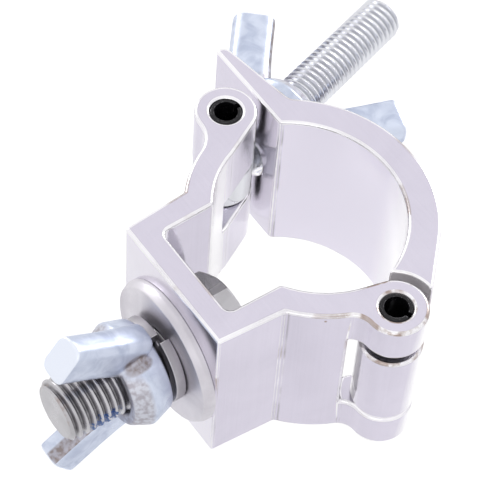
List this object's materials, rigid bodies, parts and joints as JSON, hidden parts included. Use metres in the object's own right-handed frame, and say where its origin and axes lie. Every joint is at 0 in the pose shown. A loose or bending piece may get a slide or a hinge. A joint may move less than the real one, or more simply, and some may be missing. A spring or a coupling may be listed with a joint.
{
  "type": "half coupler",
  "caption": "Hinged aluminium tube clamp with a slotted jaw closed by a swing bolt and wing nut, and a threaded stud with washers and wing nut on its foot.",
  "frame": {"origin": "middle of the saddle's round tube seat, halfway along its width", "axes": "+Z along the clamped tube, +X towards the jaw's hinge, +Y from the foot towards the jaw; the stud leaves along -Y"},
  "size_m": [0.1165, 0.1432, 0.0578],
  "materials": {
    "aluminium": "smooth extruded, polished faces",
    "black_steel": "black oxide",
    "bolt_steel": "zinc plated, bright",
    "washer_steel": "zinc plated, satin",
    "wing_nut_zinc": "zinc plated, cast surface"
  },
  "bodies": {
    "saddle": {"saddle": "aluminium", "hinge_pin": "black_steel", "eye_pin": "black_steel", "stud_bolt": "bolt_steel"},
    "jaw": {"jaw": "aluminium"},
    "swing_bolt": {"swing_bolt": "bolt_steel"},
    "clamp_nut": {"clamp_wing_nut": "wing_nut_zinc"},
    "washers": {"flat_washer": "washer_steel", "lock_washer": "washer_steel"},
    "stud_nut": {"stud_wing_nut": "wing_nut_zinc"}
  },
  "joints": [
    {"name": "jaw_hinge", "type": "hinge", "parent": "saddle", "child": "jaw", "pos_m": [0.0337, -0.00265, 0], "axis": [0, 0, -1], "range_deg": [0, 42]},
    {"name": "swing_bolt_hinge", "type": "hinge", "parent": "saddle", "child": "swing_bolt", "pos_m": [-0.0358, -0.00265, 0], "axis": [0, 0, 1], "range_deg": [0, 130]},
    {"name": "clamp_nut_travel", "type": "slide", "parent": "swing_bolt", "child": "clamp_nut", "axis": [-0.2857, 0.9583, 0], "range_m": [0, 0.045]},
    {"name": "stud_washer_slide", "type": "slide", "parent": "saddle", "child": "washers", "axis": [0, -1, 0], "range_m": [0, 0.014]},
    {"name": "stud_nut_turn", "type": "hinge", "parent": "washers", "child": "stud_nut", "pos_m": [0.0012, -0.0504, -0.0016], "axis": [0, -1, 0], "range_deg": [0, 2520]}
  ],
  "couplings": [
    {"joint": "clamp_nut_travel", "follows": "jaw_hinge", "m_per_rad": 0.06},
    {"joint": "stud_washer_slide", "follows": "stud_nut_turn", "m_per_rad": 0.0003183}
  ]
}
